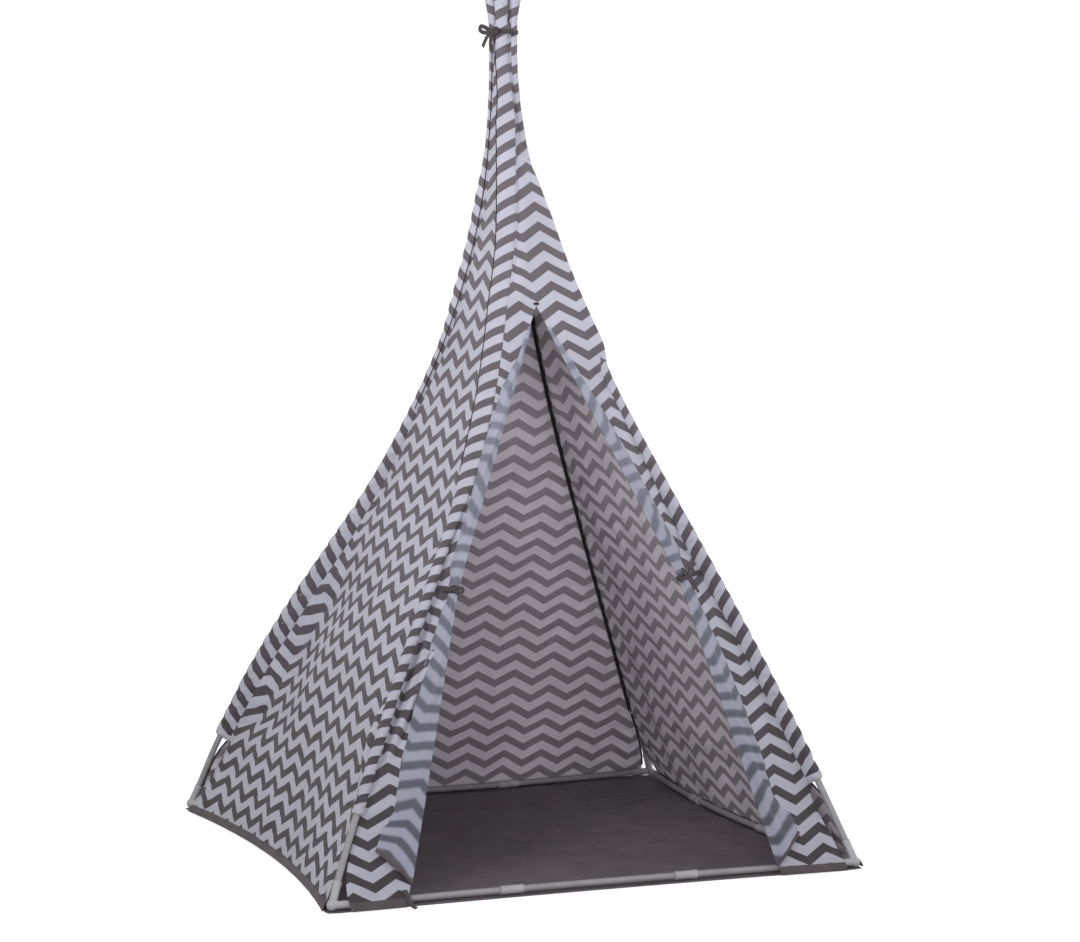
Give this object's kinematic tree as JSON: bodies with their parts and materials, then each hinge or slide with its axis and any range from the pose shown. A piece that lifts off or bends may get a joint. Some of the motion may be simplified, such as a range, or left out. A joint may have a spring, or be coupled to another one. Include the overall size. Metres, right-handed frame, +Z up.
{
  "type": "kids teepee",
  "caption": "Child's play teepee: printed cloth walls on a square tube base with flexible uprights drawn together at the top, a ground mat and a doorway with tied-back curtains.",
  "frame": {"origin": "on the ground under the middle of the square base", "axes": "+Z up, the doorway faces -Y, +X to the right of someone who looks at the doorway"},
  "size_m": [1.1953, 1.1953, 1.872],
  "materials": {
    "tube": "satin",
    "fitting": "satin",
    "printed_cloth": "matte",
    "curtain_reverse": "matte",
    "mat_nylon": "satin",
    "dark_ribbon": "matte"
  },
  "bodies": {
    "tent": {"base_tube_front_1": "tube", "base_tube_front_2": "tube", "base_tube_front_3": "tube", "base_joiner_front_1": "fitting", "base_joiner_front_2": "fitting", "base_tube_right_1": "tube", "base_tube_right_2": "tube", "base_tube_right_3": "tube", "base_joiner_right_1": "fitting", "base_joiner_right_2": "fitting", "base_tube_back_1": "tube", "base_tube_back_2": "tube", "base_tube_back_3": "tube", "base_joiner_back_1": "fitting", "base_joiner_back_2": "fitting", "base_tube_left_1": "tube", "base_tube_left_2": "tube", "base_tube_left_3": "tube", "base_joiner_left_1": "fitting", "base_joiner_left_2": "fitting", "corner_connector_front_left": "fitting", "upright_front_left_1": "tube", "upright_front_left_2": "tube", "upright_front_left_3": "tube", "upright_front_left_4": "tube", "pole_sleeve_front_left": "printed_cloth", "seam_tape_front_left": "dark_ribbon", "corner_connector_front_right": "fitting", "upright_front_right_1": "tube", "upright_front_right_2": "tube", "upright_front_right_3": "tube", "upright_front_right_4": "tube", "pole_sleeve_front_right": "printed_cloth", "seam_tape_front_right": "dark_ribbon", "corner_connector_back_right": "fitting", "upright_back_right_1": "tube", "upright_back_right_2": "tube", "upright_back_right_3": "tube", "upright_back_right_4": "tube", "pole_sleeve_back_right": "printed_cloth", "seam_tape_back_right": "dark_ribbon", "corner_connector_back_left": "fitting", "upright_back_left_1": "tube", "upright_back_left_2": "tube", "upright_back_left_3": "tube", "upright_back_left_4": "tube", "pole_sleeve_back_left": "printed_cloth", "seam_tape_back_left": "dark_ribbon", "wall_front": "printed_cloth", "wall_right": "printed_cloth", "wall_back": "printed_cloth", "wall_left": "printed_cloth", "door_tie_left": "dark_ribbon", "door_tie_right": "dark_ribbon", "top_tie": "dark_ribbon", "floor_mat": "mat_nylon"},
    "curtain_left_upper": {"door_flap_left_upper": "curtain_reverse"},
    "curtain_left_lower": {"door_flap_left_lower": "curtain_reverse"},
    "curtain_right_upper": {"door_flap_right_upper": "curtain_reverse"},
    "curtain_right_lower": {"door_flap_right_lower": "curtain_reverse"}
  },
  "joints": [
    {"name": "left_upper_fold", "type": "hinge", "parent": "tent", "child": "curtain_left_upper", "pos_m": [-0.23504, -0.35762, 0.602], "axis": [0.3893, 0.3547, 0.8501], "range_deg": [0, 150]},
    {"name": "left_lower_fold", "type": "hinge", "parent": "tent", "child": "curtain_left_lower", "pos_m": [-0.41304, -0.57887, 0.036], "axis": [0.2811, 0.3494, 0.8938], "range_deg": [0, 150]},
    {"name": "right_upper_fold", "type": "hinge", "parent": "tent", "child": "curtain_right_upper", "pos_m": [0.27515, -0.3294, 0.602], "axis": [0.3667, -0.3219, -0.8729], "range_deg": [0, 150]},
    {"name": "right_lower_fold", "type": "hinge", "parent": "tent", "child": "curtain_right_lower", "pos_m": [0.39097, -0.57728, 0.036], "axis": [0.1842, -0.3943, -0.9003], "range_deg": [0, 150]}
  ],
  "couplings": [
    {"joint": "left_upper_fold", "follows": "left_lower_fold", "ratio": 1},
    {"joint": "right_upper_fold", "follows": "right_lower_fold", "ratio": 1}
  ]
}
